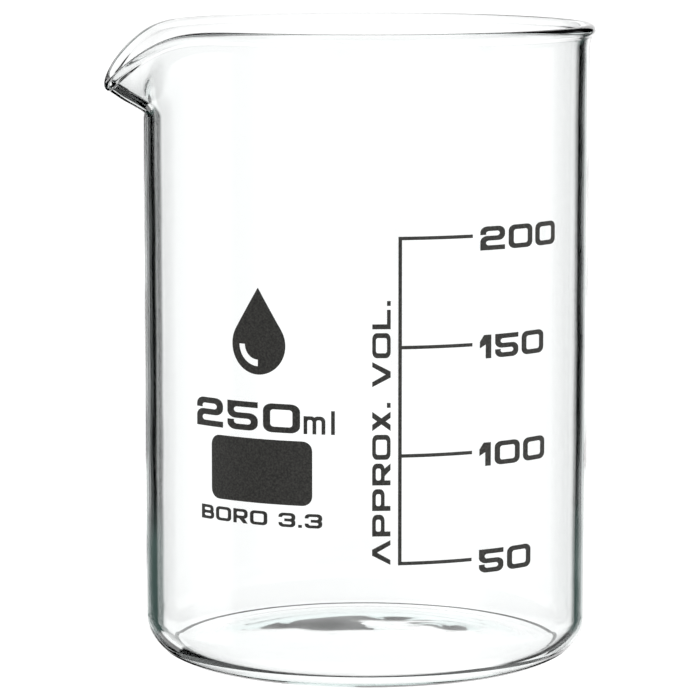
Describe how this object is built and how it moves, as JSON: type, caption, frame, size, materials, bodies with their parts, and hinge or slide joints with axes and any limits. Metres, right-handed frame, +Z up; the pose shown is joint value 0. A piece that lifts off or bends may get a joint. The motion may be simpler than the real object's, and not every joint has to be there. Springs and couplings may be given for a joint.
{
  "type": "beaker",
  "caption": "Low-form glass laboratory beaker with a flared rim, a pouring spout and a fired enamel volume scale.",
  "frame": {"origin": "centre of the foot, on the plane that the beaker stands on", "axes": "+Z up along the beaker's axis. -Y is the printed face, and the spout points about 10 degrees in front of -X"},
  "size_m": [0.0734, 0.0688, 0.0955],
  "materials": {
    "glass": "clear borosilicate glass, fire-polished rim, faint green-blue tint in thick sections",
    "enamel": "dark grey ceramic enamel fired onto the glass, matt and slightly grainy"
  },
  "bodies": {
    "root": {"glass_body": "glass", "scale_ladder": "enamel", "numeral_50": "enamel", "numeral_100": "enamel", "numeral_150": "enamel", "numeral_200": "enamel", "volume_legend": "enamel", "capacity_mark": "enamel", "writing_patch": "enamel", "glass_type_mark": "enamel", "drop_mark": "enamel"}
  },
  "joints": []
}
